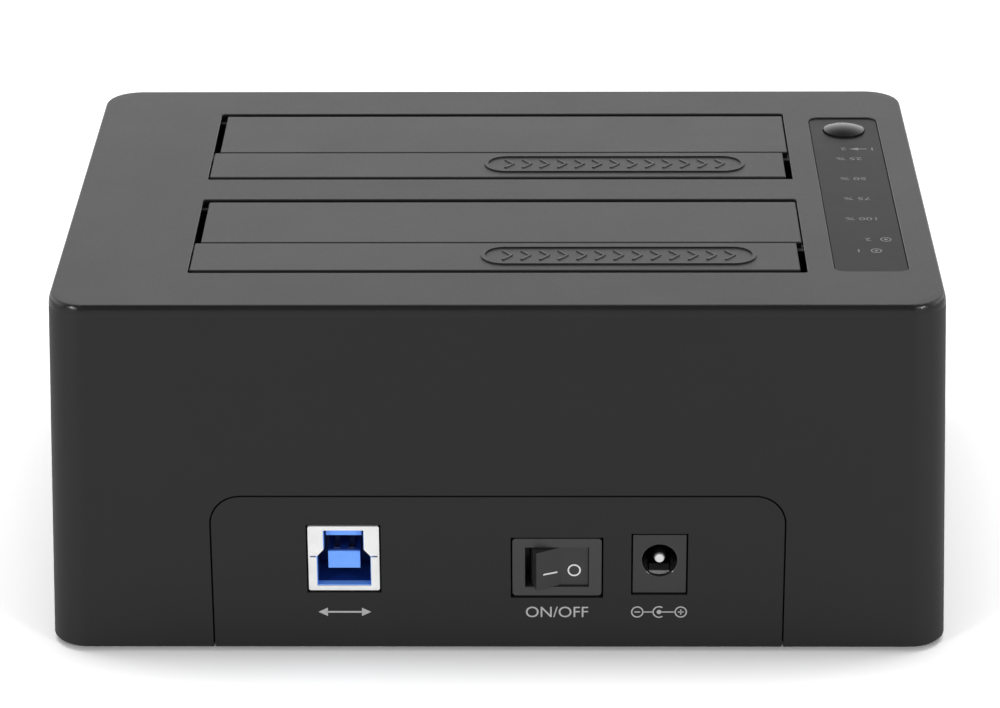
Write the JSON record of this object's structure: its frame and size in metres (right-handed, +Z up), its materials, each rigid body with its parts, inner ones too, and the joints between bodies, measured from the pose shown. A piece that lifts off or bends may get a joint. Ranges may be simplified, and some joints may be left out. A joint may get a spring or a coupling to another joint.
{
  "type": "hard drive docking station",
  "caption": "Desktop dock for bare upright hard drives: a slot with two sprung flaps for each, a control strip with a push button, and USB, rocker switch and power jack behind.",
  "frame": {"origin": "under the middle of the housing, on the plane that its rubber feet stand on", "axes": "+X along the slots towards the control strip, +Y away from the ports, +Z up"},
  "size_m": [0.1532, 0.1062, 0.0648],
  "materials": {
    "housing_plastic": "fine matt texture, near black",
    "door_plastic": "fine matt texture, near black",
    "strip_plastic": "smooth satin gloss, smoked",
    "button_plastic": "polished black",
    "port_plastic": "smooth moulded black",
    "rocker_plastic": "smooth moulded black with white marks",
    "blue_plastic": "moulded blue",
    "foot_rubber": "matt black rubber",
    "plated_shell": "tin plated sheet",
    "gold_contact": "gold plated",
    "steel": "plain steel",
    "board_laminate": "green solder mask",
    "chip_plastic": "matt epoxy",
    "can_aluminium": "bare metal cans",
    "light_plastic": "clear epoxy",
    "cable_plastic": "grey insulation"
  },
  "bodies": {
    "housing": {"upper_shell": "housing_plastic", "base_shell": "housing_plastic", "rubber_feet": "foot_rubber", "case_screws": "steel", "rear_bay_frame": "housing_plastic", "front_bay_frame": "housing_plastic", "bay_frame_screws": "steel", "hinge_pins": "steel", "main_board": "board_laminate", "board_screws": "steel", "rear_drive_socket": "port_plastic", "front_drive_socket": "port_plastic", "drive_socket_contacts": "gold_contact", "usb_socket_shell": "plated_shell", "usb_socket_insulator": "blue_plastic", "usb_contacts": "plated_shell", "jack_housing": "port_plastic", "jack_pin": "steel", "jack_leaf": "steel", "switch_housing": "port_plastic", "port_terminals": "steel", "board_chips": "chip_plastic", "power_inductor": "chip_plastic", "board_capacitors": "can_aluminium", "board_crystal": "can_aluminium", "control_strip": "strip_plastic", "push_switch_body": "port_plastic", "indicator_board": "board_laminate", "indicator_board_screws": "steel", "indicator_lights": "light_plastic", "light_baffle": "port_plastic", "cable_headers": "port_plastic", "flat_cable": "cable_plastic"},
    "rear_bay_narrow_door": {"rear_bay_narrow_door": "door_plastic", "rear_bay_narrow_door_spring": "steel"},
    "rear_bay_wide_door": {"rear_bay_wide_door": "door_plastic", "rear_bay_wide_door_spring": "steel"},
    "front_bay_narrow_door": {"front_bay_narrow_door": "door_plastic", "front_bay_narrow_door_spring": "steel"},
    "front_bay_wide_door": {"front_bay_wide_door": "door_plastic", "front_bay_wide_door_spring": "steel"},
    "rocker": {"power_rocker": "rocker_plastic"},
    "button": {"push_button": "button_plastic", "push_switch_plunger": "port_plastic"}
  },
  "joints": [
    {"name": "rear_bay_narrow_door_hinge", "type": "hinge", "parent": "housing", "child": "rear_bay_narrow_door", "pos_m": [0, -0.03547, 0.0624], "axis": [-1, 0, 0], "range_deg": [0, 90], "stiffness_Nm_per_rad": 0.0015, "springref_deg": -20.05, "deforming": ["rear_bay_narrow_door_spring"]},
    {"name": "rear_bay_wide_door_hinge", "type": "hinge", "parent": "housing", "child": "rear_bay_wide_door", "pos_m": [0, -0.00568, 0.0624], "axis": [1, 0, 0], "range_deg": [0, 90], "stiffness_Nm_per_rad": 0.003, "springref_deg": -20.05, "deforming": ["rear_bay_wide_door_spring"]},
    {"name": "front_bay_narrow_door_hinge", "type": "hinge", "parent": "housing", "child": "front_bay_narrow_door", "pos_m": [0, 0.00728, 0.0624], "axis": [-1, 0, 0], "range_deg": [0, 90], "stiffness_Nm_per_rad": 0.0015, "springref_deg": -20.05, "deforming": ["front_bay_narrow_door_spring"]},
    {"name": "front_bay_wide_door_hinge", "type": "hinge", "parent": "housing", "child": "front_bay_wide_door", "pos_m": [0, 0.03707, 0.0624], "axis": [1, 0, 0], "range_deg": [0, 90], "stiffness_Nm_per_rad": 0.003, "springref_deg": -20.05, "deforming": ["front_bay_wide_door_spring"]},
    {"name": "rocker_hinge", "type": "hinge", "parent": "housing", "child": "rocker", "pos_m": [0.01003, -0.04923, 0.016], "axis": [0, 0, -1], "range_deg": [0, 30]},
    {"name": "button_press", "type": "slide", "parent": "housing", "child": "button", "axis": [0, 0, -1], "range_m": [0, 0.0005], "stiffness_N_per_m": 300, "springref_m": -0.0005}
  ]
}
